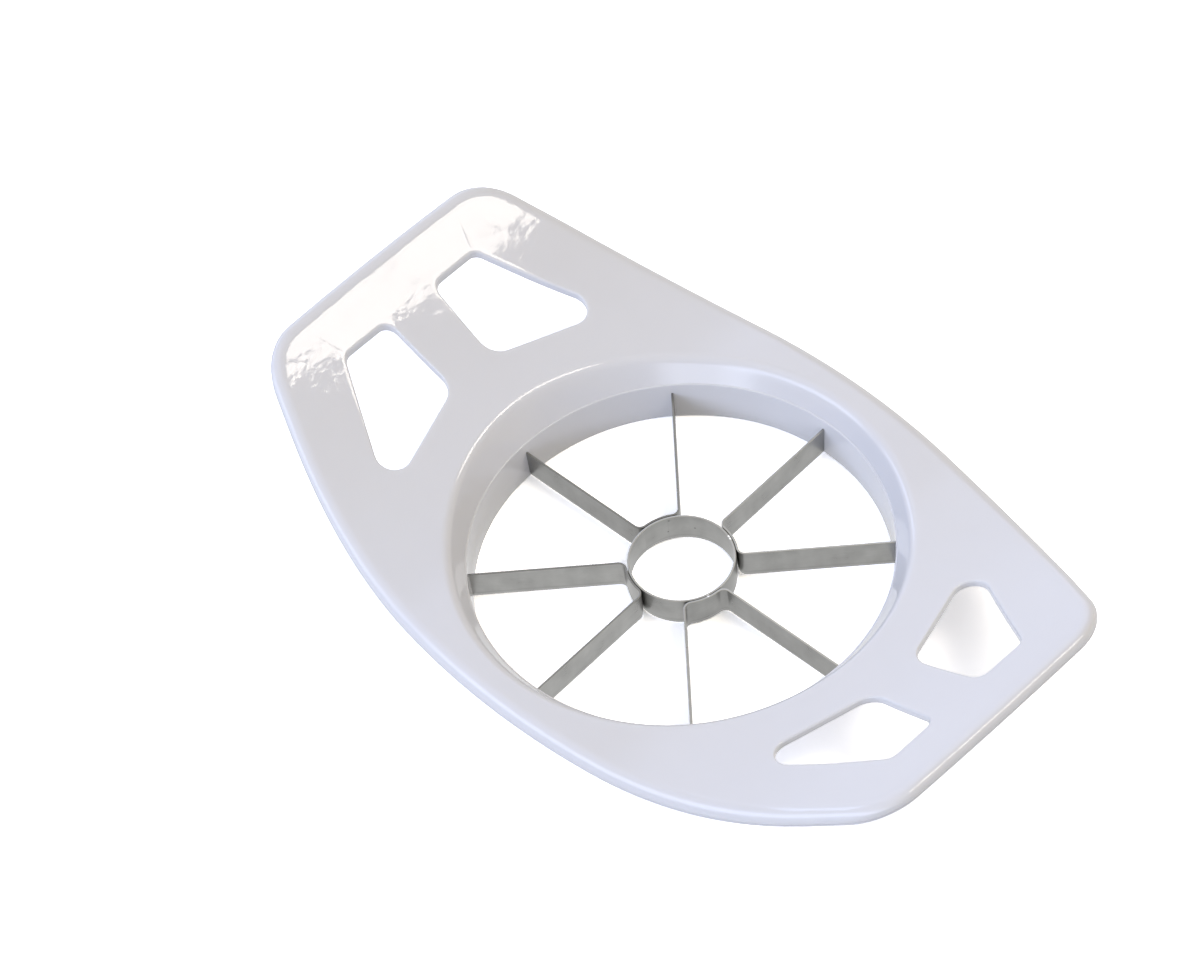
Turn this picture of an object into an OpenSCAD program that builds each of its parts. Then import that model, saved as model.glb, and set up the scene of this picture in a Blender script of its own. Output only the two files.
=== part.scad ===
// Push-down apple slicer: one moulded frame with two raised handles, and a spider of
// eight stainless spokes round a core ring. Millimetres, +Z up. The drum's lower rim
// rests on z = 0, the spider is centred on x = y = 0, and the handles lie along X.

/* [Frame outline] */
// Length over both handles
frame_length = 190.5; // [182:0.5:200]
// Width across the middle
frame_width = 116.2; // [113:0.2:122]
// Radius of the long side's curve
side_radius = 193; // [180:1:210]
// Distance from a handle's end to where the side's curve becomes straight
handle_taper = 15.2; // [11:0.2:22]
// Corner radius of a handle
corner_radius = 14.2; // [10:0.2:17]
// Radius of a handle's slightly bowed end
end_radius = 1060; // [600:10:1400]

/* [Frame height] */
// Top of the level plate above the lower rim
plate_height = 15.5; // [14.5:0.1:18]
// Thickness of the plate
plate_thickness = 2.2; // [1.8:0.1:2.6]
// Half the length of the plate's level middle
level_half = 28.5; // [24:0.5:34]
// Radius of the upward sweep of a handle
sweep_radius = 102; // [90:1:120]
// Slope that the sweep reaches, from where the handle runs straight
sweep_slope = 28; // [24:0.5:31]
// Height of the down-turned skirt, from the plate's top face
skirt_height = 4.3; // [3.8:0.1:7]
// Thickness of the skirt
skirt_thickness = 2.2; // [1.8:0.1:2.6]

/* [Drum and funnel] */
// Radius of the drum's bore at the lower rim
bore_radius = 46.4; // [44:0.1:47.5]
// Draft of the bore wall, in degrees
bore_draft = 4.2; // [1:0.1:5]
// Wall of the drum and of the funnel
drum_wall = 2.4; // [2:0.1:3]
// Height of the ledge where the bore meets the funnel
ledge_height = 10.1; // [8.6:0.1:11.5]
// Width of that ledge
ledge_width = 0.15; // [0.1:0.05:0.4]
// Slope of the funnel from the vertical
funnel_angle = 30.5; // [25:0.5:36]
// Chamfer of the lower rim
rim_chamfer = 0.4; // [0.2:0.1:0.7]

/* [Finger cut-outs] */
// Width left between a cut-out and the opening
opening_border = 12.1; // [9:0.1:14]
// Direction from the core ring to the edge of a cut-out along that border, in degrees
opening_bearing = 18; // [12:0.5:24]
// Width left between a cut-out and a handle's end
end_border = 12.5; // [10:0.1:15]
// Width left between a cut-out and the straight side of a handle
side_border = 12.7; // [10:0.1:15]
// Angle between a cut-out's side edge and that side
side_skew = 4.3; // [0:0.1:8]
// Half the width of the rib between two cut-outs, on the opening's side
rib_half = 6.1; // [4.5:0.1:8]
// Angle by which the rib widens towards the handle's end, on each side
rib_flare = 2.7; // [0:0.1:5]
// Corner radius beside the rib, on the opening's side
cut_inner_radius = 5; // [2:0.1:6]
// Corner radius at the two corners beside the handle's end
cut_outer_radius = 2.8; // [1.5:0.1:4]
// Corner radius at the far corner
cut_tip_radius = 4; // [2.5:0.1:5]

/* [Blade spider] */
// Outside diameter of the core ring
ring_diameter = 24; // [18:0.5:30]
// Thickness of the ring's and the blades' strip
blade_thickness = 0.5; // [0.4:0.05:0.8]
// Height of the strip
blade_height = 7.6; // [6.6:0.1:8.2]
// Clearance of the cutting edges above the lower rim
blade_lift = 0.2; // [0.1:0.1:0.6]
// Height of the ground cutting edge
bevel_height = 1.2; // [0.6:0.1:2]
// Width left flat at the cutting edge
edge_land = 0.1; // [0.05:0.05:0.2]
// Centre-line radius of the bend from the ring into a spoke
bend_radius = 1.8; // [1:0.1:3]
// Length of a spoke's end that is moulded into the drum, at the lower rim
blade_seat = 1.4; // [0.9:0.1:1.6]
// Gap between the core ring and a strip spot-welded round it
weld_gap = 0.02; // [0:0.01:0.05]
// Turn of the spider against the handles
spider_turn = 1.8; // [0:0.2:5]

/* [Hidden] */
$fn = 96;
strips = 4;
spoke_angle = 180 / strips;
side_steps = 14;
corner_steps = 8;
bend_steps = 6;
wrap_steps = 5;
end_x = frame_length / 2;
side_turn = asin((end_x - handle_taper) / side_radius);
side_distance = side_radius - (side_radius - frame_width / 2) * cos(side_turn);
sweep_run = sweep_radius * sin(sweep_slope);
ledge_radius = bore_radius + ledge_height * tan(bore_draft);
mouth_radius = ledge_radius + ledge_width;
rim_radius = mouth_radius + (plate_height - ledge_height) * tan(funnel_angle);
cut_distance = rim_radius + opening_border;
spoke_end = bore_radius + blade_seat;
ring_radius = ring_diameter / 2;
top_z = plate_z(end_x);
over = 5;

// Height of the plate's top face, which changes only along X
function plate_z(x) =
    let (run = max(abs(x) - level_half, 0), bent = min(run, sweep_run))
    plate_height + sweep_radius - sqrt(pow(sweep_radius, 2) - pow(bent, 2))
    + (run - bent) * tan(sweep_slope);

function arc(centre, radius, from, to, steps) =
    [for (i = [0:steps]) let (a = from + (to - from) * i / steps)
        centre + radius * [cos(a), sin(a)]];

// A quarter of the outline moved in by `inset`: side curve, straight, corner and end
function quarter(inset) =
    let (side = arc([0, frame_width / 2 - side_radius], side_radius - inset,
            90, 90 - side_turn, side_steps),
        start = side[side_steps],
        along = [cos(side_turn), -sin(side_turn)],
        inward = [-sin(side_turn), -cos(side_turn)],
        corner = corner_radius - inset,
        end_centre = [end_x - end_radius, 0],
        reach = end_radius - inset - corner,
        from_end = start + corner * inward - end_centre,
        b = from_end * along,
        straight = sqrt(b * b - from_end * from_end + reach * reach) - b,
        centre = start + straight * along + corner * inward,
        turn = atan2(centre.y, centre.x - end_centre.x))
    concat(side,
        arc(centre, corner, 90 - side_turn, turn, corner_steps),
        [for (p = arc(end_centre, end_radius - inset, turn, 0, 2)) if (p.y < centre.y) p]);

// The whole outline, clockwise from above, starting at the middle of the +Y side
function outline(inset) =
    let (q = quarter(inset), n = len(q) - 1)
    concat(q,
        [for (i = [n - 1:-1:0]) [q[i].x, -q[i].y]],
        [for (i = [1:n]) [-q[i].x, -q[i].y]],
        [for (i = [n - 1:-1:1]) [-q[i].x, q[i].y]]);

// Everything under the plate's top face moved in by `drop`, across the whole width
module under_plate(drop) {
    radius = sweep_radius + drop;
    level_end = [level_half, plate_height - drop];
    sweep_end = level_end + radius * [sin(sweep_slope), 1 - cos(sweep_slope)];
    far = end_x + over;
    far_end = [far, sweep_end.y + (far - sweep_end.x) * tan(sweep_slope)];
    right = [level_end, sweep_end, far_end, [far, -over]];
    left = [for (i = [3:-1:0]) [-right[i].x, right[i].y]];
    rotate([90, 0, 0])
        linear_extrude(height = frame_width + 2 * over, center = true)
            difference() {
                polygon(concat(right, left));
                for (s = [-1, 1])
                    translate([s * level_half, plate_height + sweep_radius]) circle(r = radius);
            }
}

module footprint(inset) { linear_extrude(height = top_z + over) polygon(outline(inset)); }

// The plate and its down-turned skirt, hollow from below
module shell() {
    difference() {
        intersection() {
            footprint(0);
            under_plate(0);
        }
        translate([0, 0, -skirt_height]) under_plate(0);
        intersection() {
            footprint(skirt_thickness);
            under_plate(plate_thickness);
        }
    }
}

// Outside of the drum and the funnel, which run up into the plate
module drum() {
    foot = bore_radius + drum_wall;
    knee = [ledge_radius + drum_wall, ledge_height - drum_wall * tan(funnel_angle / 2)];
    top = plate_height + 2 * over;
    brim = knee.x + (top - knee.y) * tan(funnel_angle);
    intersection() {
        rotate_extrude()
            polygon([[0, 0], [foot - rim_chamfer, 0], [foot, rim_chamfer], knee,
                [brim, top], [0, top]]);
        under_plate(plate_thickness / 2);
    }
}

// The way through: rim chamfer, drafted bore, ledge and funnel
module way_through() {
    rim = bore_radius + rim_chamfer * tan(bore_draft);
    rotate_extrude()
        polygon([[0, -over], [bore_radius + rim_chamfer, -over],
            [bore_radius + rim_chamfer, 0], [rim, rim_chamfer],
            [ledge_radius, ledge_height], [mouth_radius, ledge_height],
            [mouth_radius + (top_z - ledge_height) * tan(funnel_angle), top_z], [0, top_z]]);
}

function unit(v) = v / norm(v);

// An outline with its own radius at each corner; the corners run counter-clockwise
function rounded(corners, radii) =
    [for (i = [0:len(corners) - 1])
        let (p = corners[i], n = len(corners),
            u = unit(corners[(i + n - 1) % n] - p), v = unit(corners[(i + 1) % n] - p),
            half = acos(u * v) / 2, centre = p + radii[i] / sin(half) * unit(u + v),
            middle = atan2(p.y - centre.y, p.x - centre.x))
        each arc(centre, radii[i], middle - 90 + half, middle + 90 - half, corner_steps)];

// Where two lines meet, each given as [direction of its normal, distance from the origin]
function meet(l, m) =
    [l.y * sin(m.x) - m.y * sin(l.x), m.y * cos(l.x) - l.y * cos(m.x)] / sin(m.x - l.x);

module finger_cut() {
    rib = [rib_flare - 90, cut_distance * sin(rib_flare) - rib_half * cos(rib_flare)];
    end = [0, end_x - end_border];
    side = [90 - side_turn - side_skew, side_distance - side_border];
    opening = [opening_bearing, cut_distance];
    linear_extrude(height = top_z + over)
        polygon(rounded(
            [meet(rib, opening), meet(rib, end), meet(end, side), meet(side, opening)],
            [cut_inner_radius, cut_outer_radius, cut_outer_radius, cut_tip_radius]));
}

// Pocket in the drum's wall that holds the end of a spoke lying along +X
module blade_slot() {
    translate([ring_diameter, 0, 0])
        rotate([90, 0, 90])
            linear_extrude(height = spoke_end - ring_diameter) polygon(strip_section());
}

module frame() {
    color("white")
        difference() {
            union() {
                shell();
                drum();
            }
            way_through();
            for (x = [0, 1], y = [0, 1]) mirror([x, 0, 0]) mirror([0, y, 0]) finger_cut();
            for (k = [1:2 * strips]) rotate([0, 0, spider_turn + k * spoke_angle]) blade_slot();
        }
}

// Section of the steel strip about its centre line, as [across, height] points
function strip_section() =
    let (half = blade_thickness / 2, top = blade_lift + blade_height)
    [[-edge_land / 2, blade_lift], [edge_land / 2, blade_lift],
        [half, blade_lift + bevel_height], [half, top], [-half, top],
        [-half, blade_lift + bevel_height]];

// Stations [x, y, direction across the strip] of half a strip: its spoke along +X, the
// bend at the core ring, and the stretch round the ring up to the strip's middle
function half_path() =
    let (wrap_radius = ring_radius + weld_gap + blade_thickness / 2,
        bend_centre = wrap_radius + bend_radius,
        lag = asin(bend_radius / bend_centre),
        spoke_start = bend_centre * cos(lag))
    concat([[spoke_end, 0, 90]],
        [for (i = [0:bend_steps]) let (a = 270 - (90 - lag) * i / bend_steps)
            [spoke_start + bend_radius * cos(a), bend_radius * (1 + sin(a)), a - 180]],
        [for (i = [1:wrap_steps]) let (a = lag + (spoke_angle / 2 - lag) * i / wrap_steps)
            [wrap_radius * cos(a), wrap_radius * sin(a), a]]);

// The other half is its mirror image across the strip's middle
function strip_path() =
    let (half = half_path(), c = cos(spoke_angle), s = sin(spoke_angle))
    concat(half, [for (i = [len(half) - 2:-1:0]) let (p = half[i])
        [c * p.x + s * p.y, s * p.x - c * p.y, spoke_angle - p.z]]);

// A section carried along the stations of a path, closed at both ends
module sweep(path, section) {
    n = len(section);
    last = (len(path) - 1) * n;
    sides = [for (k = [0:len(path) - 2], i = [0:n - 1]) let (a = k * n, j = (i + 1) % n)
        [a + i, a + j, a + j + n, a + i + n]];
    polyhedron(
        [for (p = path, q = section) [p.x + q.x * cos(p.z), p.y + q.x * sin(p.z), q.y]],
        concat(sides, [[for (i = [n - 1:-1:0]) i], [for (i = [0:n - 1]) last + i]]));
}

// One V-shaped strip: a spoke, a hug round the ring and the next spoke
module blade_strip(k) {
    color("silver")
        rotate([0, 0, spider_turn + spoke_angle * (2 * k - 1)])
            sweep(strip_path(), strip_section());
}

module core_ring() {
    color("silver")
        rotate_extrude()
            translate([ring_radius - blade_thickness / 2, 0]) polygon(strip_section());
}

module blade_strip_1() { blade_strip(1); }
module blade_strip_2() { blade_strip(2); }
module blade_strip_3() { blade_strip(3); }
module blade_strip_4() { blade_strip(4); }

frame();
core_ring();
blade_strip_1();
blade_strip_2();
blade_strip_3();
blade_strip_4();
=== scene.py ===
from math import asin, atan2, cos, hypot, pi, radians, sin, sqrt, tan

import bpy
from mathutils import Matrix, Vector


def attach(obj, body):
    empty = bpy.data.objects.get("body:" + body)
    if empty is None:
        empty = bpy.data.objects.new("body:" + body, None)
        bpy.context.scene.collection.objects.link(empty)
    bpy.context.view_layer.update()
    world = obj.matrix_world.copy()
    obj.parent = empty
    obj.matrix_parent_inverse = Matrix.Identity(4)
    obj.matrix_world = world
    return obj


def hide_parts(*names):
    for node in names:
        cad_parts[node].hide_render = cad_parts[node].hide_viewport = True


# Apple slicer: a moulded frame with raised handles and a steel spider. Sizes in mm, as in the CAD.
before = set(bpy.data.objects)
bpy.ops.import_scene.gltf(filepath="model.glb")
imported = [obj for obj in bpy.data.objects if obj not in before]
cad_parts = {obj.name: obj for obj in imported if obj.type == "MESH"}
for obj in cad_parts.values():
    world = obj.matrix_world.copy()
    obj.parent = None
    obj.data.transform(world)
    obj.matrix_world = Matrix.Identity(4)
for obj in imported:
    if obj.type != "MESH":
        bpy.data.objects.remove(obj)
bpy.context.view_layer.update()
mm = 0.001  # in metres
print("frame loaded:", sorted(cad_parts))


def hexColor(code):  # sRGB hex to linear RGBA
    parts = [int(code[i:i + 2], 16) / 255 for i in (1, 3, 5)]
    return [c / 12.92 if c <= 0.04045 else ((c + 0.055) / 1.055) ** 2.4 for c in parts] + [1]


def addNode(tree, kind, settings=None, inputs=None, output=0):  # adds one node, returns its output
    node = tree.nodes.new("ShaderNode" + kind)
    for name, value in (settings or {}).items():
        setattr(node, name, value)
    for socket, value in (inputs or {}).items():
        if isinstance(value, bpy.types.NodeSocket):
            tree.links.new(value, node.inputs[socket])
        else:
            node.inputs[socket].default_value = value
    return node.outputs[output] if node.outputs else None


def emptyTree(owner):  # the node tree of a material, a light or the world, emptied
    owner.use_nodes = True
    owner.node_tree.nodes.clear()
    return owner.node_tree


def startMaterial(name):
    material = bpy.data.materials.new(name)
    return material, emptyTree(material)


def deselectAll():
    if bpy.context.mode != "OBJECT":
        bpy.ops.object.mode_set(mode="OBJECT")
    bpy.ops.object.select_all(action="DESELECT")


def makeActive(piece):
    deselectAll()
    piece.select_set(True)
    bpy.context.view_layer.objects.active = piece


def editWhole(piece, operator, **settings):  # runs one mesh operator on all of a piece
    makeActive(piece)
    bpy.ops.object.mode_set(mode="EDIT")
    bpy.ops.mesh.select_all(action="SELECT")
    operator(**settings)
    bpy.ops.object.mode_set(mode="OBJECT")


def applyModifier(piece, kind, **settings):
    makeActive(piece)
    modifier = piece.modifiers.new(kind, kind)
    for name, value in settings.items():
        setattr(modifier, name, value)
    bpy.ops.object.modifier_apply(modifier=modifier.name)


def smoothShade(piece, angle):
    makeActive(piece)
    bpy.ops.object.shade_smooth_by_angle(angle=radians(angle))


def gridOver(name, rings, closed):  # a grid primitive carried onto rings of points, in mm
    columns = len(rings[0]) if closed else len(rings[0]) - 1
    rows = len(rings) - 1
    deselectAll()
    bpy.ops.mesh.primitive_grid_add(x_subdivisions=columns, y_subdivisions=rows, size=1)
    piece = bpy.context.object
    piece.name = piece.data.name = name
    for vertex in piece.data.vertices:
        column = round((vertex.co.x + 0.5) * columns)
        row = round((vertex.co.y + 0.5) * rows)
        vertex.co = Vector(rings[row][column % len(rings[0])]) * mm
    return piece


quarterTurn = [radians(angle) for angle in (0, 30, 60, 90)]  # the steps of each small rounding

frameShape = {
    "length": 190.5, "width": 116.2,
    "sideRadius": 193, "handleTaper": 15.2, "cornerRadius": 14.2, "endRadius": 1060,
    "plateHeight": 15.5, "plateThickness": 2.2,
    "levelHalf": 28.5, "sweepRadius": 102, "sweepSlope": 28,
    "startSlope": 26.5,  # where the handle's slope starts, before its slight hollow
    "skirtHeight": 4.3, "skirtThickness": 2.2, "lipRadius": 0.35,
    "edgeInset": 3.1, "edgeDrop": 2.5,  # the plate's edge is rounded as a quarter of an ellipse
    "partingDrop": 3.5, "partingDepth": 0.25,  # the mould's parting line round the skirt
    "partingSteps": ((0, -0.22), (0, -0.14), (1, -0.08), (1, 0.08), (0, 0.14), (0, 0.22)),
    "support": 0.5,  # flat border beside each rounded edge, which keeps the plate's shading flat
    "underFillet": 0.5, "filletSteps": ((0, 1), (0.3, 0.3), (1, 0)),  # skirt to the plate's underside
    "bandWidth": 2, "bandReach": 48.5,  # the handles are cut across into bands that can bend
    "sideSteps": 42, "cornerSteps": 14, "endSteps": 8, "straightSteps": 4, "edgeSteps": 10,
    "mergeReach": 0.01, "smoothAngle": 40,
}
endX = frameShape["length"] / 2
sideTurn = asin((endX - frameShape["handleTaper"]) / frameShape["sideRadius"])


def sweepZ(run, radius, slope):  # rise of the plate: an arc that runs into a straight slope
    bent = min(run, radius * sin(slope))
    return radius - sqrt(radius ** 2 - bent ** 2) + (run - bent) * tan(slope)


def plateZ(x):  # height of the plate's top face
    radius, slope = frameShape["sweepRadius"], radians(frameShape["startSlope"])
    run, full = max(abs(x) - frameShape["levelHalf"], 0), endX - frameShape["levelHalf"]
    start = radius * sin(slope)
    short = sweepZ(full, radius, radians(frameShape["sweepSlope"])) - sweepZ(full, radius, slope)
    part = max(run - start, 0) / (full - start)
    return frameShape["plateHeight"] + sweepZ(run, radius, slope) + short * part ** 2


def plateSlope(x):
    radius, slope = frameShape["sweepRadius"], radians(frameShape["sweepSlope"])
    bent = min(max(abs(x) - frameShape["levelHalf"], 0), radius * sin(slope))
    return bent / sqrt(radius ** 2 - bent ** 2) * (1 if x > 0 else -1)


def plateWay(radius, theta):  # [outward, up] along the plate's top in the plane that stands at theta
    return Vector((1, plateSlope(radius * cos(theta)) * cos(theta))).normalized()


def arcPoints(centre, radius, start, end, steps):
    turns = [start + (end - start) * i / steps for i in range(steps + 1)]
    return [(centre[0] + radius * cos(a), centre[1] + radius * sin(a)) for a in turns]


def outlineLoop(inset):  # the frame's outline moved in by inset, clockwise from above
    s = frameShape
    side, corner = s["sideRadius"], s["cornerRadius"] - inset
    sideCentre = (0, s["width"] / 2 - side)
    arc = arcPoints(sideCentre, side - inset, pi / 2, pi / 2 - sideTurn, s["sideSteps"])
    start, along = Vector(arc[-1]), Vector((cos(sideTurn), -sin(sideTurn)))
    inward = Vector((-sin(sideTurn), -cos(sideTurn)))
    endCentre = Vector((endX - s["endRadius"], 0))
    fromEnd = start + corner * inward - endCentre
    reach = s["endRadius"] - inset - corner
    b = fromEnd.dot(along)
    travel = sqrt(b * b - fromEnd.dot(fromEnd) + reach * reach) - b
    centre = start + travel * along + corner * inward
    turn = atan2(centre.y, centre.x - endCentre.x)
    bend = arcPoints(centre, corner, pi / 2 - sideTurn, turn, s["cornerSteps"])
    end = arcPoints(endCentre, s["endRadius"] - inset, turn, 0, s["endSteps"])
    steps = s["straightSteps"]
    straight = [tuple(start.lerp(Vector(bend[0]), i / steps)) for i in range(1, steps)]
    quarter = arc + straight + bend + end[1:]
    half = quarter + [(x, -y) for x, y in reversed(quarter[:-1])]
    return half + [(-x, y) for x, y in reversed(half[1:-1])]


def roundedEdge(inset, drop, steps):  # [inset, drop] along an edge rounded to a quarter of an ellipse
    turns = [pi / 2 * i / steps for i in range(steps + 1)]
    return [(inset * (1 - sin(a)), drop * (1 - cos(a))) for a in turns]


def outerRings():  # from the plate's flat top over the edge and the skirt to the hollow below
    s = frameShape
    lip, inner, under = s["lipRadius"], s["skirtThickness"], s["plateThickness"]
    fillet, bottom = s["underFillet"], s["skirtHeight"]
    rows = [(s["edgeInset"] + s["support"], 0)]
    rows += roundedEdge(s["edgeInset"], s["edgeDrop"], s["edgeSteps"])
    rows += [(s["partingDepth"] * deep, s["partingDrop"] + down) for deep, down in s["partingSteps"]]
    rows += [(lip * (1 - cos(a)), bottom - lip * (1 - sin(a))) for a in quarterTurn]
    rows += [(inner - lip * (1 - sin(a)), bottom - lip * (1 - cos(a))) for a in quarterTurn]
    rows += [(inner + fillet * out, under + fillet * down) for out, down in s["filletSteps"]]
    rows += [(inner + fillet + s["support"], under)]
    return [[(x, y, -drop) for x, y in outlineLoop(inset)] for inset, drop in rows]


openingShape = {
    "boreRadius": 46.4, "boreDraft": 4.2, "drumWall": 2.4, "rimChamfer": 0.4,
    "ledgeHeight": 10.1, "ledgeWidth": 0.15, "funnelAngle": 30.5, "creaseRadius": 2.9,
    "ledgeRise": 0.3,  # the funnel ends in a narrow ledge, which catches the light above the bore
    "ledgeSteps": ((0.1, 0.05), (0.03, 0.1), (0, 0.2)),  # out from the bore, down from the ledge
    "columns": 288, "creaseSteps": 8,
    "funnelShares": (0.25, 0.5, 0.75, 0.97, 1), "boreShares": (0.05, 0.35, 0.65, 1),
    "drumShares": (0.33, 0.67, 1), "underSteps": ((0.5, 0.04), (1.8, 0)),
    "meetRounds": 30,  # repeats that find where a cone meets the plate
}
boreTan = tan(radians(openingShape["boreDraft"]))
funnelTan = tan(radians(openingShape["funnelAngle"]))
ledgeRadius = openingShape["boreRadius"] + openingShape["ledgeHeight"] * boreTan
mouthRadius = ledgeRadius + openingShape["ledgeWidth"]


def coneMeets(baseRadius, baseZ, theta, drop):  # radius where a funnel cone meets the plate, dropped
    radius = baseRadius
    for _ in range(openingShape["meetRounds"]):
        radius = baseRadius + (plateZ(radius * cos(theta)) - drop - baseZ) * funnelTan
    return radius


def creaseArc(theta, radius, corner, wallWay, steps):  # [radius, z] round a crease, plate to wall
    way = plateWay(corner[0], theta)
    corner = Vector(corner)
    half = way.angle(wallWay) / 2
    back, bisector = radius / tan(half), (way + wallWay).normalized()
    centre = corner + bisector * radius / sin(half)
    first, last = corner + way * back - centre, corner + wallWay * back - centre
    turn = first.angle_signed(last)
    points = [corner + way * (back + frameShape["support"])]
    for i in range(steps + 1):
        a = -turn * i / steps
        points.append(centre + Vector((first.x * cos(a) - first.y * sin(a),
                                       first.x * sin(a) + first.y * cos(a))))
    return points


def openingProfile(theta):  # [radius, z] from the plate's top down the funnel and bore, up the outside
    s = openingShape
    rim = coneMeets(mouthRadius, s["ledgeHeight"], theta, 0)
    down = Vector((-funnelTan, -1)).normalized()
    corner = (rim, plateZ(rim * cos(theta)))
    points = creaseArc(theta, s["creaseRadius"], corner, down, s["creaseSteps"])
    rise, chamfer = s["ledgeRise"], s["rimChamfer"]
    shelf = Vector((mouthRadius + rise * funnelTan, s["ledgeHeight"] + rise))
    points += [points[-1].lerp(shelf, t) for t in s["funnelShares"]]
    points += [Vector((ledgeRadius + out, shelf.y - drop)) for out, drop in s["ledgeSteps"]]
    foot = Vector((s["boreRadius"] + chamfer * boreTan, chamfer))
    points += [points[-1].lerp(foot, t) for t in s["boreShares"]]
    outer = s["boreRadius"] + s["drumWall"]
    points += [Vector((foot.x + chamfer * (1 - cos(a)), chamfer * (1 - sin(a))))
               for a in quarterTurn[1:]]
    points += [Vector((outer - chamfer * (1 - sin(a)), chamfer * (1 - cos(a)))) for a in quarterTurn]
    kneeDrop = s["drumWall"] * tan(radians(s["funnelAngle"] / 2))
    knee = Vector((ledgeRadius + s["drumWall"], s["ledgeHeight"] - kneeDrop))
    points += [points[-1].lerp(knee, t) for t in s["drumShares"]]
    thickness = frameShape["plateThickness"]
    under = coneMeets(knee.x, knee.y, theta, thickness)
    top, way = Vector((under, plateZ(under * cos(theta)) - thickness)), plateWay(under, theta)
    fillet = frameShape["underFillet"]
    points.append(top + down * fillet)
    points += [top + way * out * fillet - Vector((0, drop * fillet))
               for out, drop in s["underSteps"]]
    return points


def openingRings():  # the same profile round the opening; heights are counted from the plate's top
    columns = openingShape["columns"]
    profiles = []
    for i in range(columns):
        theta = 2 * pi * i / columns
        profiles.append([(p.x * cos(theta), p.x * sin(theta), p.y - plateZ(p.x * cos(theta)))
                         for p in openingProfile(theta)])
    return [[profile[row] for profile in profiles] for row in range(len(profiles[0]))]


cutShape = {
    "openingBorder": 12.1, "openingBearing": 18, "endBorder": 12.5, "sideBorder": 12.7,
    "sideSkew": 4.3, "ribHalf": 6.1, "ribFlare": 2.7, "topLip": 0.5, "bottomLip": 0.3,
    "radii": (5, 2.8, 2.8, 4), "cornerSteps": 12,
    "edgeSteps": (10, 8, 18, 18),  # along the rib, the end, the side and the opening
    "lipSteps": 6,
}


def meetLines(first, second):  # where two lines meet, each as [direction of its normal, distance]
    (a, p), (b, q) = first, second
    return Vector((p * sin(b) - q * sin(a), q * cos(a) - p * cos(b))) / sin(b - a)


def cutLoop(outset):  # one finger cut-out's outline, moved out by outset, counter-clockwise
    s = cutShape
    rimRadius = mouthRadius + (frameShape["plateHeight"] - openingShape["ledgeHeight"]) * funnelTan
    distance = rimRadius + s["openingBorder"]
    side = frameShape["sideRadius"]
    sideDistance = side - (side - frameShape["width"] / 2) * cos(sideTurn)
    flare = radians(s["ribFlare"])
    ribLine = (flare - pi / 2, distance * sin(flare) - s["ribHalf"] * cos(flare) + outset)
    endLine = (0, endX - s["endBorder"] + outset)
    sideLine = (pi / 2 - sideTurn - radians(s["sideSkew"]), sideDistance - s["sideBorder"] + outset)
    openingLine = (radians(s["openingBearing"]) + pi, outset - distance)
    lines = [openingLine, ribLine, endLine, sideLine]
    corners = [meetLines(line, lines[(i + 1) % 4]) for i, line in enumerate(lines)]
    arcs = []
    for i, corner in enumerate(corners):
        u = (corners[i - 1] - corner).normalized()
        v = (corners[(i + 1) % 4] - corner).normalized()
        half, radius = u.angle(v) / 2, s["radii"][i] + outset
        centre = corner + (u + v).normalized() * radius / sin(half)
        middle, reach = atan2(corner.y - centre.y, corner.x - centre.x), pi / 2 - half
        arcs.append(arcPoints(centre, radius, middle - reach, middle + reach, s["cornerSteps"]))
    loop = []
    for i, arc in enumerate(arcs):
        (x, y), (nextX, nextY), count = arc[-1], arcs[(i + 1) % 4][0], s["edgeSteps"][i]
        loop += arc + [(x + (nextX - x) * k / count, y + (nextY - y) * k / count)
                       for k in range(1, count)]
    return loop


def cutRings(signX, signY):  # from the plate's top over the lip, down the wall to the underside
    s, support, thickness = cutShape, frameShape["support"], frameShape["plateThickness"]
    top, bottom = s["topLip"], s["bottomLip"]
    rows = [(top + support, 0)] + roundedEdge(top, top, s["lipSteps"])
    rows += [(bottom * (1 - cos(a)), thickness - bottom * (1 - sin(a))) for a in quarterTurn]
    rows += [(bottom + support, thickness)]
    return [[(signX * x, signY * y, -drop) for x, y in cutLoop(outset)] for outset, drop in rows]


def fillFlat(piece, z):  # fills the loops that stay open at one level of the flattened frame
    nearLevel = 0.3
    makeActive(piece)
    bpy.ops.object.mode_set(mode="EDIT")
    bpy.ops.mesh.select_mode(type="EDGE")
    bpy.ops.mesh.select_all(action="DESELECT")
    bpy.ops.mesh.select_non_manifold(extend=False, use_wire=False, use_boundary=True,
                                     use_multi_face=False, use_non_contiguous=False, use_verts=False)
    bpy.ops.object.mode_set(mode="OBJECT")
    vertices = piece.data.vertices
    for edge in piece.data.edges:
        level = all(abs(vertices[i].co.z - z * mm) < nearLevel * mm for i in edge.vertices)
        edge.select = edge.select and level
    for part in list(vertices) + list(piece.data.polygons):
        part.select = False
    bpy.ops.object.mode_set(mode="EDIT")
    bpy.ops.mesh.fill(use_beauty=True)
    for side in (-1, 1):  # bands across the plate, narrow enough for its sweep
        x = frameShape["levelHalf"]
        while x < frameShape["levelHalf"] + frameShape["bandReach"]:
            bpy.ops.mesh.bisect(plane_co=(side * x * mm, 0, 0), plane_no=(1, 0, 0))
            x += frameShape["bandWidth"]
    bpy.ops.object.mode_set(mode="OBJECT")


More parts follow.
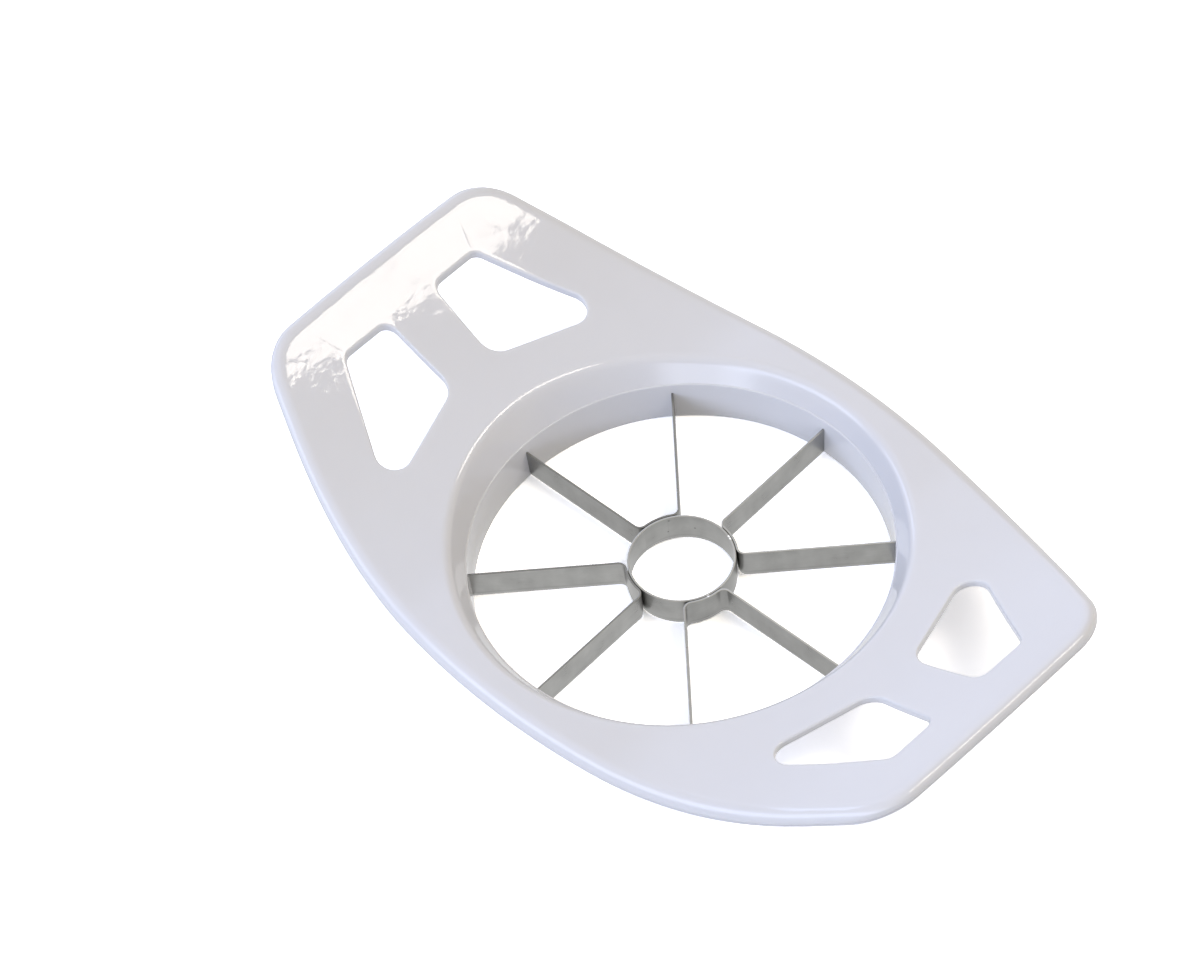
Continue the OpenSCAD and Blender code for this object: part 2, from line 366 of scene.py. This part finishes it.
def buildFrame():
    parts = [gridOver("outerEdge", outerRings(), True), gridOver("opening", openingRings(), True)]
    for signX in (1, -1):
        for signY in (1, -1):
            parts.append(gridOver("cutOut", cutRings(signX, signY), True))
    deselectAll()
    for part in parts:
        part.select_set(True)
    bpy.context.view_layer.objects.active = parts[0]
    bpy.ops.object.join()
    skin = bpy.context.object
    skin.name = skin.data.name = "mouldedFrame"
    editWhole(skin, bpy.ops.mesh.remove_doubles, threshold=frameShape["mergeReach"] * mm)
    for z in (0, -frameShape["plateThickness"]):
        fillFlat(skin, z)
    for vertex in skin.data.vertices:  # the sweep: every point rises with the plate under it
        vertex.co.z += plateZ(vertex.co.x / mm) * mm
    editWhole(skin, bpy.ops.mesh.normals_make_consistent, inside=False)
    smoothShade(skin, frameShape["smoothAngle"])
    return skin


frameSkin = buildFrame()
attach(frameSkin, "root")
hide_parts("frame")
print("frame modelled:", len(frameSkin.data.polygons), "faces")


spiderShape = {
    "ringDiameter": 24, "bladeThickness": 0.5, "bladeHeight": 7.6, "bladeLift": 0.2,
    "bevelHeight": 1.2, "edgeLand": 0.1, "bendRadius": 1.8, "bladeSeat": 1.4,
    "weldGap": 0.16, "spiderTurn": 1.8, "strips": 4,
    "edgeBreak": 0.1, "breakSegments": 2, "breakAngle": 60, "mergeReach": 0.004, "smoothAngle": 30,
    "supports": (0.15, 0.12),  # extra rows of points above the ground bevel and below the top edge
    "stripShades": (-0.01, -0.17, 0.08, -0.11),  # painted shade: each strip painted a shade lighter or darker, for how it catches the light
    "spokeSteps": 12, "bendSteps": 12, "wrapSteps": 8, "ringSides": 160,
}
bladeTop = spiderShape["bladeLift"] + spiderShape["bladeHeight"]
bevelTop = spiderShape["bladeLift"] + spiderShape["bevelHeight"]


def stripPath():  # [x, y] along a strip's middle, from one spoke's end round the ring to the other's
    s = spiderShape
    spokeAngle, bend = pi / s["strips"], s["bendRadius"]
    wrap = s["ringDiameter"] / 2 + s["weldGap"] + s["bladeThickness"] / 2
    lag = asin(bend / (wrap + bend))
    start = (wrap + bend) * cos(lag)
    end = openingShape["boreRadius"] + s["bladeSeat"]
    steps = s["spokeSteps"]
    half = [(end + (start - end) * i / steps, 0) for i in range(steps)]
    half += arcPoints((start, bend), bend, 1.5 * pi, pi + lag, s["bendSteps"])
    half += arcPoints((0, 0), wrap, lag, spokeAngle / 2, s["wrapSteps"])[1:]
    c, d = cos(spokeAngle), sin(spokeAngle)
    return half + [(c * x + d * y, d * x - c * y) for x, y in reversed(half[:-1])]


def stripMap(piece):  # the piece's one UV map, in metres along the strip and up it
    layers = piece.data.uv_layers
    uv = layers[0] if layers else layers.new(name="stripMap")
    uv.name = "stripMap"
    return uv


def giveThickness(piece):  # thinner down the ground bevel, to the cutting edge; all edges broken
    s = spiderShape
    group = piece.vertex_groups.new(name="thickness")
    for vertex in piece.data.vertices:
        cutting = vertex.co.z < (s["bladeLift"] + bevelTop) / 2 * mm
        group.add([vertex.index], s["edgeLand"] / s["bladeThickness"] if cutting else 1, "REPLACE")
    applyModifier(piece, "SOLIDIFY", thickness=s["bladeThickness"] * mm, offset=0,
                  use_even_offset=True, vertex_group="thickness")
    applyModifier(piece, "BEVEL", width=s["edgeBreak"] * mm, segments=s["breakSegments"],
                  limit_method="ANGLE", angle_limit=radians(s["breakAngle"]))
    editWhole(piece, bpy.ops.mesh.remove_doubles, threshold=s["mergeReach"] * mm)  # bevels that met
    smoothShade(piece, s["smoothAngle"])


def buildStrip(index):
    s = spiderShape
    turn = radians(s["spiderTurn"]) + pi / s["strips"] * (2 * index - 1)
    path = [(x * cos(turn) - y * sin(turn), x * sin(turn) + y * cos(turn)) for x, y in stripPath()]
    low, (above, below) = s["bladeLift"], s["supports"]
    heights = [low, bevelTop, bevelTop + above, (low + bladeTop) / 2, bladeTop - below, bladeTop]
    rings = [[(x, y, z) for x, y in path] for z in heights]
    strip = gridOver("bladeStrip%d" % index, rings, False)
    lengths = [0]
    for a, b in zip(path, path[1:]):
        lengths.append(lengths[-1] + hypot(b[0] - a[0], b[1] - a[1]))
    uv = stripMap(strip)
    for loop in strip.data.loops:  # so that the grain follows the bends
        co = strip.data.vertices[loop.vertex_index].co
        away = [hypot(x * mm - co.x, y * mm - co.y) for x, y in path]
        uv.data[loop.index].uv = (lengths[away.index(min(away))] * mm, co.z)
    giveThickness(strip)
    # painted shade: this strip's lighter or darker tone, for how it catches the light
    tone = strip.data.attributes.new("paintedStripShade", "FLOAT", "POINT")
    for value in tone.data:
        value.value = s["stripShades"][index - 1]
    return strip


def buildCoreRing():
    s = spiderShape
    deselectAll()
    radius = (s["ringDiameter"] - s["bladeThickness"]) / 2
    middle = s["bladeLift"] + s["bladeHeight"] / 2
    bpy.ops.mesh.primitive_cylinder_add(vertices=s["ringSides"], radius=radius * mm,
                                        depth=s["bladeHeight"] * mm, end_fill_type="NOTHING",
                                        location=(0, 0, middle * mm))
    bpy.ops.object.transform_apply(location=True, rotation=True, scale=True)
    ring = bpy.context.object
    ring.name = ring.data.name = "coreRing"
    editWhole(ring, bpy.ops.mesh.bisect, plane_co=(0, 0, bevelTop * mm), plane_no=(0, 0, 1))
    uv = stripMap(ring)
    for face in ring.data.polygons:
        middleAngle = atan2(face.center.y, face.center.x)
        for index in face.loop_indices:
            co = ring.data.vertices[ring.data.loops[index].vertex_index].co
            angle = atan2(co.y, co.x)
            angle += 2 * pi * round((middleAngle - angle) / (2 * pi))
            uv.data[index].uv = (angle * radius * mm, co.z)
    giveThickness(ring)
    return ring


strips = [buildStrip(index) for index in range(1, spiderShape["strips"] + 1)]
coreRing = buildCoreRing()
for piece, node in zip(strips + [coreRing], ["blade_strip_1", "blade_strip_2", "blade_strip_3",
                                             "blade_strip_4", "core_ring"]):
    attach(piece, "root")
    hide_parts(node)
print("spider modelled")


plasticLook = {
    "color": "#DFDFE2", "shade": "#DADADE", "roughness": (0.03, 0.05), "hazeRange": (0.3, 0.7),
    "ior": 1.57, "glow": 0.35, "glowDepth": 2.5, "glowColor": (1, 0.95, 0.9),
    "noises": {  # the size of each in mm, its detail and its roughness
        "drift": (45, 3, 0.5),  # the tone drifts over the frame
        "haze": (13.5, 5, 0.6),  # patches of slightly duller gloss
        "ripple": (13, 1.5, 0.45),  # slow waves, which bend the reflections
        "sink": (7, 3, 0.5),  # faint sink marks, on the handles alone
        "peel": (2.4, 2, 0.4),  # orange peel
    },
    "rippleHeight": 0.03, "sinkHeight": 0.045, "sinkFrom": (66, 76), "peelHeight": 0.002,
}
flowLook = {
    "start": (82.9, 19.6), "along": (0.9226, 0.3865),  # from a cut-out's outer corner, outwards
    "width": 0.3, "reach": (83, 90.5), "fadeIn": 1, "fadeOut": 3, "depth": 0.006,
}


def flowLines(tree, folded):  # knit lines of the melt, from each cut-out to the frame's corner
    look = flowLook
    (startX, startY), (alongX, alongY) = look["start"], look["along"]
    first, last = look["reach"]
    across = addNode(tree, "VectorMath", {"operation": "DOT_PRODUCT"},
                     {0: folded, 1: (-alongY, alongX, 0)}, "Value")
    offset = addNode(tree, "Math", {"operation": "SUBTRACT"},
                     {0: across, 1: (alongX * startY - alongY * startX) * mm})
    away = addNode(tree, "Math", {"operation": "ABSOLUTE"}, {0: offset})
    line = addNode(tree, "MapRange", {}, {"Value": away, "From Min": look["width"] * mm,
                                          "From Max": 0})
    x = addNode(tree, "SeparateXYZ", {}, {"Vector": folded}, "X")
    limits = ((first, first + look["fadeIn"]), (last, last - look["fadeOut"]))
    begin, end = [addNode(tree, "MapRange", {}, {"Value": x, "From Min": start * mm,
                                                 "From Max": full * mm}) for start, full in limits]
    part = addNode(tree, "Math", {"operation": "MULTIPLY"}, {0: begin, 1: end})
    return addNode(tree, "Math", {"operation": "MULTIPLY"}, {0: part, 1: line})


def mouldedStyrene():  # injection-moulded polystyrene: a cool milky white under a sharp gloss
    look = plasticLook
    material, tree = startMaterial("glossMouldedStyrene")
    coords = addNode(tree, "TexCoord", output="Object")
    folded = addNode(tree, "VectorMath", {"operation": "ABSOLUTE"}, {0: coords})
    noise = {}
    for name, (size, detail, roughness) in look["noises"].items():
        noise[name] = addNode(tree, "TexNoise", {}, {"Vector": coords, "Scale": 1 / (size * mm),
                                                     "Detail": detail, "Roughness": roughness})
    tone = addNode(tree, "Mix", {"data_type": "RGBA"}, {
        0: noise["drift"], 6: hexColor(look["color"]), 7: hexColor(look["shade"])}, 2)
    (start, full), (smooth, dull) = look["hazeRange"], look["roughness"]
    rough = addNode(tree, "MapRange", {}, {"Value": noise["haze"], "From Min": start,
                                           "From Max": full, "To Min": smooth, "To Max": dull})
    reach = addNode(tree, "SeparateXYZ", {}, {"Vector": folded}, "X")
    start, full = look["sinkFrom"]
    handle = addNode(tree, "MapRange", {}, {"Value": reach, "From Min": start * mm,
                                            "From Max": full * mm})
    sunk = addNode(tree, "Math", {"operation": "MULTIPLY"}, {0: noise["sink"], 1: handle})
    below = {}  # each bump lies over the one before
    for height, distance in ((noise["ripple"], look["rippleHeight"]), (sunk, look["sinkHeight"]),
                             (flowLines(tree, folded), -flowLook["depth"]),
                             (noise["peel"], look["peelHeight"])):
        below = {"Normal": addNode(tree, "Bump", {}, {"Height": height, "Strength": 1,
                                                      "Distance": distance * mm, **below})}
    shader = addNode(tree, "BsdfPrincipled", {}, {
        "Base Color": tone, "Roughness": rough, "IOR": look["ior"], **below,
        "Subsurface Weight": look["glow"], "Subsurface Scale": look["glowDepth"] * mm,
        "Subsurface Radius": look["glowColor"]})
    addNode(tree, "OutputMaterial", {}, {"Surface": shader})
    return material


steelLook = {
    "color": "#B0B0AE", "dark": "#979795", "roughness": (0.26, 0.38), "blendRange": (0.68, 1.18),
    # The grain is drawn coarser than real rolling grain, so that it shows.
    "grain": {"length": 9, "width": 0.12, "detail": 4, "roughness": 0.6, "share": 0.5},
    "band": {"length": 4.5, "width": 90, "detail": 2, "roughness": 0.5, "share": 0.35},
    "cloudSize": 6, "cloudDetail": 3, "grainHeight": 0.006, "grainStrength": 0.4,
}
weldLook = {
    "spots": [(-9.82, 5.98, 7.0), (-10.02, 5.64, 3.3), (-5.84, 9.91, 4.0)],  # inside the ring, in mm
    "spotSize": 0.3, "spotCore": 0.1, "seam": (-0.5, -0.866, 0), "seamWidth": 0.07,
    "seamShare": 0.35, "seamReach": (6, 5), "shade": 0.45,
}
edgeLightLook = {  # painted light and shade on the strips' slit top edges, and a painted shade line on the ground bevel
    # painted lit and shaded tones of the top edges, and the side they are lit from
    "light": "#AFAFAC", "dark": "#7A7A78", "lightSide": (0.911, 0.412, 0),
    "sideRange": (-0.5, 0.95), "ringReach": (14.45, 14.35), "ringLightness": 0.7,
    "upRange": (0.35, 0.7), "lineWidth": 0.3, "lineShade": 0.84,  # a painted shade line over the ground bevel
    # painted glints: white spots on the top edges, in mm
    "paintedGlints": [(11.6, -3.6), (3.6, 11.3), (4.3, 11.05)], "glintSize": (0.38, 0.2),
}


def paintedEdgeLight(tree, coords, color):  # painted light: slit top edges lighter on the lit side and darker on the other, with painted glints
    look = edgeLightLook
    normal = addNode(tree, "NewGeometry", output="Normal")
    up = addNode(tree, "SeparateXYZ", {}, {"Vector": normal}, "Z")
    start, full = look["upRange"]
    top = addNode(tree, "MapRange", {}, {"Value": up, "From Min": start, "From Max": full})
    outward = addNode(tree, "VectorMath", {"operation": "NORMALIZE"}, {0: coords})
    side = addNode(tree, "VectorMath", {"operation": "DOT_PRODUCT"},
                   {0: outward, 1: look["lightSide"]}, "Value")
    start, full = look["sideRange"]
    towardLight = addNode(tree, "MapRange", {}, {"Value": side, "From Min": start, "From Max": full})
    # painted light: the core ring's top edge is kept lighter all round
    reach = addNode(tree, "VectorMath", {"operation": "LENGTH"}, {0: coords}, "Value")
    start, full = look["ringReach"]
    litRingEdge = addNode(tree, "MapRange", {}, {"Value": reach, "From Min": start * mm,
                                            "From Max": full * mm,
                                            "To Max": look["ringLightness"]})
    lightness = addNode(tree, "Math", {"operation": "MAXIMUM"}, {0: towardLight, 1: litRingEdge})
    edge = addNode(tree, "Mix", {"data_type": "RGBA"}, {
        0: lightness, 6: hexColor(look["dark"]), 7: hexColor(look["light"])}, 2)
    start, full = look["glintSize"]
    # painted glints: each one mixes the edge to white
    for x, y in look["paintedGlints"]:
        away = addNode(tree, "VectorMath", {"operation": "DISTANCE"},
                       {0: coords, 1: (x * mm, y * mm, bladeTop * mm)}, "Value")
        spot = addNode(tree, "MapRange", {}, {"Value": away, "From Min": start * mm,
                                              "From Max": full * mm})
        edge = addNode(tree, "Mix", {"data_type": "RGBA"}, {0: spot, 6: edge, 7: (1, 1, 1, 1)}, 2)
    # painted shade: a dark line along the ground bevel's crease
    height = addNode(tree, "SeparateXYZ", {}, {"Vector": coords}, "Z")
    gap = addNode(tree, "Math", {"operation": "SUBTRACT"}, {0: height, 1: bevelTop * mm})
    away = addNode(tree, "Math", {"operation": "ABSOLUTE"}, {0: gap})
    line = addNode(tree, "MapRange", {}, {"Value": away, "From Min": look["lineWidth"] * mm,
                                          "From Max": 0})
    flank = addNode(tree, "Mix", {"data_type": "RGBA", "blend_type": "MULTIPLY"}, {
        0: line, 6: color, 7: [look["lineShade"]] * 3 + [1]}, 2)
    return addNode(tree, "Mix", {"data_type": "RGBA"}, {0: top, 6: flank, 7: edge}, 2)


def weldMarks(tree, coords):  # the core ring's butt seam with its tack welds, as a mask
    look = weldLook
    across = addNode(tree, "VectorMath", {"operation": "DOT_PRODUCT"},
                     {0: coords, 1: look["seam"]}, "Value")
    away = addNode(tree, "Math", {"operation": "ABSOLUTE"}, {0: across})
    seam = addNode(tree, "MapRange", {}, {"Value": away, "From Min": look["seamWidth"] * mm,
                                          "From Max": 0, "To Max": look["seamShare"]})
    fromSpots = [addNode(tree, "VectorMath", {"operation": "DISTANCE"},
                         {0: coords, 1: [value * mm for value in spot]}, "Value")
                 for spot in look["spots"]]
    start, full = look["seamReach"]
    near = addNode(tree, "MapRange", {}, {"Value": fromSpots[1], "From Min": start * mm,
                                          "From Max": full * mm})
    mask = addNode(tree, "Math", {"operation": "MULTIPLY"}, {0: seam, 1: near})
    for away in fromSpots:
        dot = addNode(tree, "MapRange", {}, {"Value": away, "From Min": look["spotSize"] * mm,
                                             "From Max": look["spotCore"] * mm})
        mask = addNode(tree, "Math", {"operation": "MAXIMUM"}, {0: mask, 1: dot})
    return mask


def brushedStainless():  # cold-rolled strip: a soft grey sheen, fine grain along it, bands across; painted light and shade on its edges and per strip
    look = steelLook
    material, tree = startMaterial("brushedStainless")
    uv = addNode(tree, "UVMap", {"uv_map": "stripMap"})
    coords = addNode(tree, "TexCoord", output="Object")
    blend = addNode(tree, "TexNoise", {}, {"Vector": uv, "Scale": 1 / (look["cloudSize"] * mm),
                                           "Detail": look["cloudDetail"]})
    streaks = []
    for streak in (look["grain"], look["band"]):
        scale = (1 / (streak["length"] * mm), 1 / (streak["width"] * mm), 1)
        drawn = addNode(tree, "Mapping", {}, {"Vector": uv, "Scale": scale})
        noise = addNode(tree, "TexNoise", {}, {"Vector": drawn, "Scale": 1,
                                               "Detail": streak["detail"],
                                               "Roughness": streak["roughness"]})
        blend = addNode(tree, "Math", {"operation": "MULTIPLY_ADD"},
                        {0: noise, 1: streak["share"], 2: blend})
        streaks.append(noise)
    start, full = look["blendRange"]
    tone = addNode(tree, "MapRange", {}, {"Value": blend, "From Min": start, "From Max": full})
    color = addNode(tree, "Mix", {"data_type": "RGBA"}, {
        0: tone, 6: hexColor(look["dark"]), 7: hexColor(look["color"])}, 2)
    marked = addNode(tree, "Mix", {"data_type": "RGBA", "blend_type": "MULTIPLY"}, {
        0: weldMarks(tree, coords), 6: color, 7: [weldLook["shade"]] * 3 + [1]}, 2)
    # painted shade per strip, scaling the whole strip's colour
    shadeOfStrip = addNode(tree, "Attribute", {"attribute_name": "paintedStripShade"}, output="Fac")
    share = addNode(tree, "Math", {"operation": "ADD"}, {0: shadeOfStrip, 1: 1})
    stripShaded = addNode(tree, "VectorMath", {"operation": "SCALE"}, {0: marked, "Scale": share})
    smooth, dull = look["roughness"]
    rough = addNode(tree, "MapRange", {}, {"Value": blend, "From Min": start, "From Max": full,
                                           "To Min": smooth, "To Max": dull})
    bump = addNode(tree, "Bump", {}, {"Height": streaks[0], "Strength": look["grainStrength"],
                                      "Distance": look["grainHeight"] * mm})
    shader = addNode(tree, "BsdfPrincipled", {}, {
        "Base Color": paintedEdgeLight(tree, coords, stripShaded), "Metallic": 1, "Roughness": rough,
        "Normal": bump})
    addNode(tree, "OutputMaterial", {}, {"Surface": shader})
    return material


plastic, steel = mouldedStyrene(), brushedStainless()
for piece in [frameSkin] + strips + [coreRing]:
    piece.data.materials.clear()
    piece.data.materials.append(plastic if piece == frameSkin else steel)
for name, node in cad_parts.items():
    node.data.materials.clear()
    node.data.materials.append(plastic if name == "frame" else steel)
print("materials made")


floorLook = {
    "size": 6, "color": "#D9D9D9", "mirrored": 0.88,
    "seen": (2.3, 2.3, 2.3, 1),  # to the camera it is white, but for the object's shadow
}


def paleFloor():  # matt grey paint to the light; the camera sees it white, reflections nearly so
    look = floorLook
    deselectAll()
    bpy.ops.mesh.primitive_plane_add(size=look["size"])
    floor = bpy.context.object
    floor.name = "paleFloor"
    material, tree = startMaterial("paleFloorPaint")
    seen = addNode(tree, "LightPath", output="Is Camera Ray")
    mirrored = addNode(tree, "LightPath", output="Is Glossy Ray")
    color = addNode(tree, "Mix", {"data_type": "RGBA", "clamp_result": False}, {
        0: seen, 6: hexColor(look["color"]), 7: look["seen"]}, 2)
    paint = addNode(tree, "BsdfDiffuse", {}, {"Color": color})
    glow = addNode(tree, "Emission", {}, {"Color": (1, 1, 1, 1), "Strength": look["mirrored"]})
    surface = addNode(tree, "MixShader", {}, {0: mirrored, 1: paint, 2: glow})
    addNode(tree, "OutputMaterial", {}, {"Surface": surface})
    floor.data.materials.append(material)


lightSetup = {  # where each panel stands as seen from its target, its size in metres, its radiance
    "key": {"toward": (0.425, 0.39, 0.817), "along": (0.2495, -0.918, 0.3085),
            "target": (-0.06, 0.0017, 0.0188), "distance": 1.4, "width": 0.8, "height": 0.36,
            "radiance": 7.8, "color": "#FFF7EB", "edge": 0},
    "window": {"toward": (-0.8138, 0.4698, 0.342), "along": (0.5, 0.866, 0),
               "target": (0, 0, 0.01), "distance": 1.5, "width": 1.3, "height": 2.4,
               "radiance": 1.0, "color": "#C6D6FF", "edge": 0.2},
    "sky": {"toward": (-0.1884, -0.8865, 0.4226), "along": (-0.9781, 0.2079, 0),
            "target": (0, 0, 0.01), "distance": 1.5, "width": 2.5, "height": 1.15,
            "radiance": 3.4, "color": "#D1DFFF", "edge": 0.3},
    "side": {"toward": (-0.8936, -0.19, 0.4067), "along": (-0.2079, 0.9781, 0),
             "target": (0, 0, 0.01), "distance": 1.5, "width": 1.3, "height": 0.45,
             "radiance": 2.9, "color": "#C6D6FF", "edge": 0.2},
    "front": {"toward": (0.4851, -0.8403, 0.242), "along": (0.866, 0.5, 0),
              "target": (0, 0, 0.01), "distance": 1.5, "width": 1.5, "height": 0.55,
              "radiance": 2.8, "color": "#E2EAFF", "edge": 0.3},
}
worldLook = {"color": "#FFFAF0", "strength": 0.39}


def fadeEdges(data, edge):  # a softbox's light falls off towards its sides
    tree = emptyTree(data)
    across = addNode(tree, "NewGeometry", output="Parametric")
    middle = addNode(tree, "VectorMath", {"operation": "SUBTRACT"}, {0: across, 1: (0.5, 0.5, 0)})
    folded = addNode(tree, "VectorMath", {"operation": "ABSOLUTE"}, {0: middle})
    fades = []
    for axis in "XY":
        away = addNode(tree, "SeparateXYZ", {}, {"Vector": folded}, axis)
        fades.append(addNode(tree, "MapRange", {"interpolation_type": "SMOOTHSTEP"}, {
            "Value": away, "From Min": 0.5, "From Max": 0.5 - edge}))
    both = addNode(tree, "Math", {"operation": "MULTIPLY"}, {0: fades[0], 1: fades[1]})
    glow = addNode(tree, "Emission", {}, {"Strength": both})
    addNode(tree, "OutputLight", {}, {"Surface": glow})


def placeObject(name, data, right, up, back, place):  # a light or camera that looks against back
    piece = bpy.data.objects.new(name, data)
    bpy.context.scene.collection.objects.link(piece)
    matrix = Matrix((right, up, back)).transposed().to_4x4()
    matrix.translation = place
    piece.matrix_world = matrix
    return piece


def areaLight(name, toward, along, target, distance, width, height, radiance, color, edge):
    data = bpy.data.lights.new(name, "AREA")
    data.shape, data.size, data.size_y = "RECTANGLE", width, height
    data.energy = radiance * pi * width * height
    data.color = hexColor(color)[:3]
    if edge:
        fadeEdges(data, edge)
    back, side = Vector(toward).normalized(), Vector(along).normalized()
    placeObject(name, data, side, back.cross(side), back, Vector(target) + back * distance)


def softWorld():  # an even warm fill; the camera and reflections see it at full strength
    world = bpy.data.worlds.new("softStudio")
    bpy.context.scene.world = world
    tree = emptyTree(world)
    seen = addNode(tree, "Math", {"operation": "MAXIMUM"}, {
        0: addNode(tree, "LightPath", output="Is Camera Ray"),
        1: addNode(tree, "LightPath", output="Is Glossy Ray")})
    strength = addNode(tree, "MapRange", {}, {"Value": seen, "To Min": worldLook["strength"],
                                              "To Max": 1})
    light = addNode(tree, "Background", {}, {"Color": hexColor(worldLook["color"]),
                                             "Strength": strength})
    addNode(tree, "OutputWorld", {}, {"Surface": light})


cameraSetup = {
    "azimuth": -39.47, "elevation": 51.28, "roll": -7.36, "distance": 1214.6, "lens": 166.2,
    "aim": (-21.65, -2.22, 20.07), "sensor": 36, "clip": (0.05, 20),
}


def placeCamera():
    s = cameraSetup
    azimuth, elevation, roll = (radians(s[name]) for name in ("azimuth", "elevation", "roll"))
    back = Vector((cos(elevation) * cos(azimuth), cos(elevation) * sin(azimuth), sin(elevation)))
    right = (-back).cross(Vector((0, 0, 1))).normalized()
    up = right.cross(-back)
    turnedRight, turnedUp = right * cos(roll) + up * sin(roll), up * cos(roll) - right * sin(roll)
    data = bpy.data.cameras.new("mainCamera")
    data.lens, data.sensor_width, data.sensor_fit = s["lens"], s["sensor"], "HORIZONTAL"
    data.clip_start, data.clip_end = s["clip"]
    place = (Vector(s["aim"]) + back * s["distance"]) * mm
    camera = placeObject("mainCamera", data, turnedRight, turnedUp, back, place)
    bpy.context.scene.camera = camera


paleFloor()
for name, values in lightSetup.items():
    areaLight(name + "Light", **values)
softWorld()
placeCamera()
bpy.context.scene.view_settings.view_transform = "Standard"
print("floor, light and camera placed")
